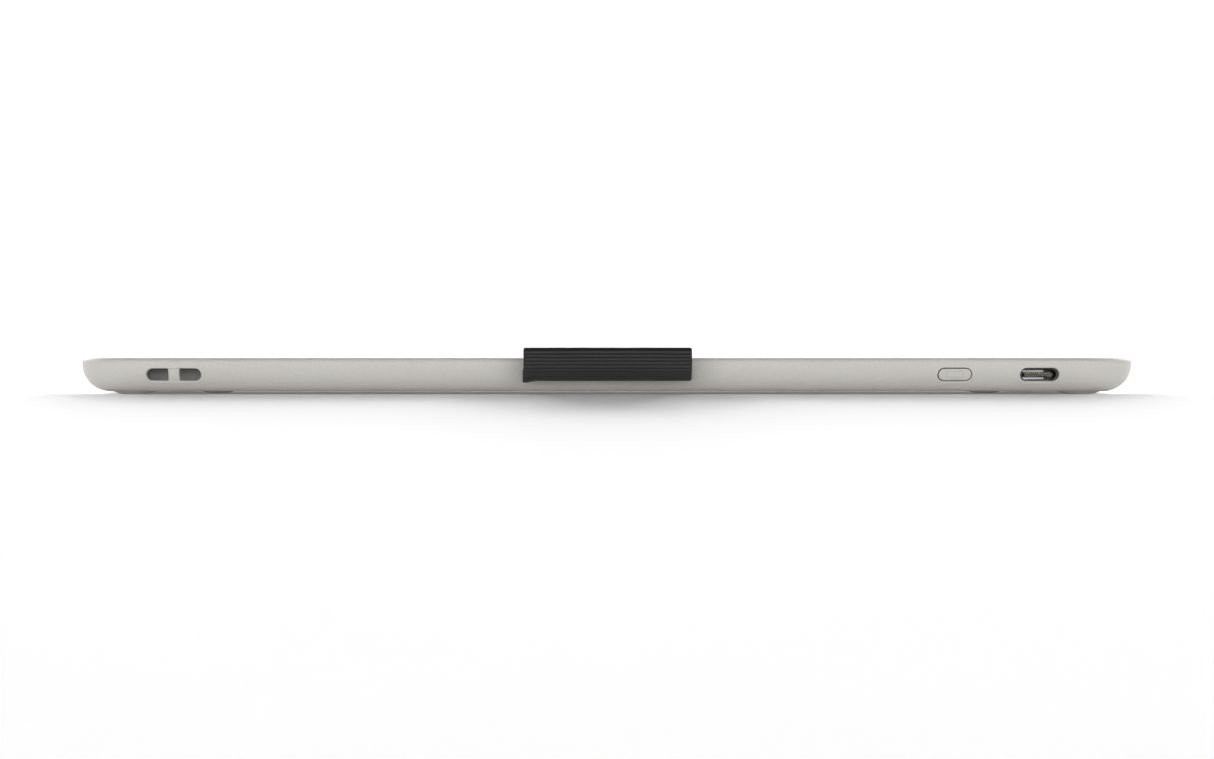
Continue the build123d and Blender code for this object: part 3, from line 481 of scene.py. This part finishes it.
def pen_loop():
    """The elastic band, as one closed ribbed skin swept round its section."""
    corners = [(reach * MM, height * MM) for reach, height in BAND_CORNERS]
    path, total = rounded_path(corners, [r * MM for r in BAND_RADII], RIB_PITCH / RIB_STEPS)
    columns = band_columns()
    mesh = bmesh.new()
    # The rib height, kept on each vertex, is what the webbing material reads to paint shade into the grooves.
    crown = mesh.verts.layers.float.new("crown")
    rings = []
    for i, centre in enumerate(path):
        ahead, behind = path[min(i + 1, len(path) - 1)], path[max(i - 1, 0)]
        run = (ahead - behind).normalized()
        normal = Vector((run.y, -run.x))
        distance = total * i / (len(path) - 1)
        outer = [band_point(x, centre, normal, distance, 1, total) for x in columns]
        inner = [band_point(x, centre, normal, distance, -1, total) for x in columns[-2:0:-1]]
        rings.append([mesh.verts.new(in_frame(p)) for p in outer + inner])
        for vertex in rings[-1]:
            vertex[crown] = rib_profile(distance)
    for ring, following in zip(rings, rings[1:]):
        for j in range(len(ring)):
            k = (j + 1) % len(ring)
            mesh.faces.new((ring[j], ring[k], following[k], following[j]))
    mesh.faces.new(rings[0][::-1])
    mesh.faces.new(rings[-1])
    bmesh.ops.recalc_face_normals(mesh, faces=mesh.faces)
    band = as_object("elastic_pen_loop", mesh)
    return band, total


def in_frame(point):
    """From (across, reach beyond the front edge, height) to the frame's own axes."""
    return Vector((point.x, FRONT_Y - point.y, point.z))


def as_object(name, mesh):
    """A smooth-shaded object in the scene, from a finished bmesh."""
    data = bpy.data.meshes.new(name)
    mesh.to_mesh(data)
    mesh.free()
    data.polygons.foreach_set("use_smooth", [True] * len(data.polygons))
    piece = bpy.data.objects.new(name, data)
    bpy.context.scene.collection.objects.link(piece)
    return piece


def add_pen_loop(materials):
    band, length = pen_loop()
    band.data.materials.append(materials["elastic_webbing"])
    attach(band, "case")
    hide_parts("pen_loop")


# ================================================================ floor, light and camera
FLOOR_REACH = 4.0
FLOOR_STEP = 0.8 * MM
FLOOR_DROP = math.tan(math.radians(10))
FLOOR_EASE = 6 * MM
FLOOR_GLOW = 0.08
RIDGE_HEIGHT = 0.69 * MM
RIDGE_INSET = 3.6 * MM
RIDGE_REACH = 5.0 * MM
RIDGE_START = 30 * MM
RIDGE_RISE = 20 * MM
CORNER_RADIUS = 14 * MM


def inside_case(x, y):
    """How far a place on the floor lies inside the outline of the case, seen from above."""
    half = (CASE_HIGH - CASE_LOW) / 2
    over_x = abs(x) - half.x + CORNER_RADIUS
    over_y = abs(y - CENTRE_Y) - half.y + CORNER_RADIUS
    beyond = math.hypot(max(over_x, 0.0), max(over_y, 0.0)) + min(max(over_x, over_y), 0.0)
    return CORNER_RADIUS - beyond


def floor_height(x, y):
    """Flat, but for a low ridge under the far edge and the ends of the case, and a fall in front of it."""
    ridge = ease(1 - abs(inside_case(x, y) - RIDGE_INSET) / RIDGE_REACH)
    ridge *= ease((y - FRONT_Y - RIDGE_START) / RIDGE_RISE)
    ahead = max(0.0, FRONT_Y - y)
    drop = FLOOR_DROP * (math.hypot(ahead, FLOOR_EASE) - FLOOR_EASE)
    return RIDGE_HEIGHT * ridge - drop


def spread(fine, fine_step, far):
    """Places evenly spaced out to fine, and then each step a quarter longer out to far, both ways."""
    places, place, step = [], 0.0, fine_step
    while place < far:
        places.append(place)
        place += step
        if place > fine:
            step *= 1.25
    return [-p for p in places[:0:-1]] + places


def add_floor():
    mesh = bmesh.new()
    xs, ys = spread(0.13, FLOOR_STEP, FLOOR_REACH), spread(0.1, FLOOR_STEP, FLOOR_REACH)
    rows = [[mesh.verts.new((x, y, floor_height(x, y))) for x in xs] for y in ys]
    for near, far in zip(rows, rows[1:]):
        for j in range(len(xs) - 1):
            mesh.faces.new((near[j], near[j + 1], far[j + 1], far[j]))
    floor = as_object("studio_floor", mesh)
    mat = Shader("studio_paper", Roughness=0.9, Specular_IOR_Level=0.1)
    mat.feed("Base Color", mat.mix(mat.noise(40 * MM, detail=3.0), grey(0.91), grey(0.92)))
    mat.shader.inputs["Emission Color"].default_value = grey(1.0)
    mat.shader.inputs["Emission Strength"].default_value = FLOOR_GLOW
    floor.data.materials.append(mat.material)


def rise(tree, value, low, high):
    """A socket that goes smoothly from 0 to 1 as value goes from low to high."""
    node = tree.nodes.new("ShaderNodeMapRange")
    node.interpolation_type = "SMOOTHSTEP"
    tree.links.new(value, node.inputs["Value"])
    node.inputs["From Min"].default_value = low
    node.inputs["From Max"].default_value = high
    return node.outputs["Result"]


def combine(tree, operation, first, second):
    """The result of one operation on two sockets or plain values."""
    node = tree.nodes.new("ShaderNodeMath")
    node.operation = operation
    for value, target in zip((first, second), node.inputs):
        if isinstance(value, bpy.types.NodeSocket):
            tree.links.new(value, target)
        else:
            target.default_value = value
    return node.outputs[0]


def softbox(tree, direction, side, lowest, highest, reach, strength):
    """Brightness of one broad white panel of the studio, with soft edges all round."""
    low, high = math.sin(math.radians(lowest)), math.sin(math.radians(highest))
    above = rise(tree, direction["Z"], low - SOFT_EDGE, low + SOFT_EDGE)
    below = rise(tree, direction["Z"], high + SOFT_EDGE, high - SOFT_EDGE)
    facing = rise(tree, direction["Y"], -side * SOFT_EDGE, side * SOFT_EDGE)
    sideways = combine(tree, "ABSOLUTE", direction["X"], 0.0)
    within = rise(tree, sideways, reach + SOFT_EDGE, reach - SOFT_EDGE)
    panel = combine(tree, "MULTIPLY", above, below)
    for part in (facing, within, strength):
        panel = combine(tree, "MULTIPLY", panel, part)
    return panel


def add_surroundings():
    """A white studio: a dim room, a plain backdrop, and panels low in front and higher up behind."""
    world = bpy.data.worlds.new("studio")
    world.use_nodes = True
    tree = world.node_tree
    split = tree.nodes.new("ShaderNodeSeparateXYZ")
    tree.links.new(tree.nodes.new("ShaderNodeTexCoord").outputs["Generated"], split.inputs[0])
    strength = ROOM_LIGHT
    for panel in SOFTBOXES:
        strength = combine(tree, "ADD", softbox(tree, split.outputs, **panel), strength)
    tree.nodes["Background"].inputs["Color"].default_value = (1.0, 1.0, 1.0, 1.0)
    tree.links.new(strength, tree.nodes["Background"].inputs["Strength"])
    bpy.context.scene.world = world
    bpy.context.scene.view_settings.view_transform = "Standard"


def add_camera():
    data = bpy.data.cameras.new("camera")
    data.lens = CAMERA_LENS
    data.clip_start = 0.01
    data.shift_x, data.shift_y = FRAME_SHIFT
    camera = bpy.data.objects.new("camera", data)
    camera.location = (CAMERA_X, FRONT_Y - CAMERA_DISTANCE, CAMERA_HEIGHT)
    camera.rotation_euler = (math.pi / 2, 0.0, 0.0)
    bpy.context.scene.collection.objects.link(camera)
    bpy.context.scene.camera = camera


add_camera()
all_materials = slot_materials()
dress_nodes(all_materials)
add_pen_loop(all_materials)
add_floor()
add_surroundings()
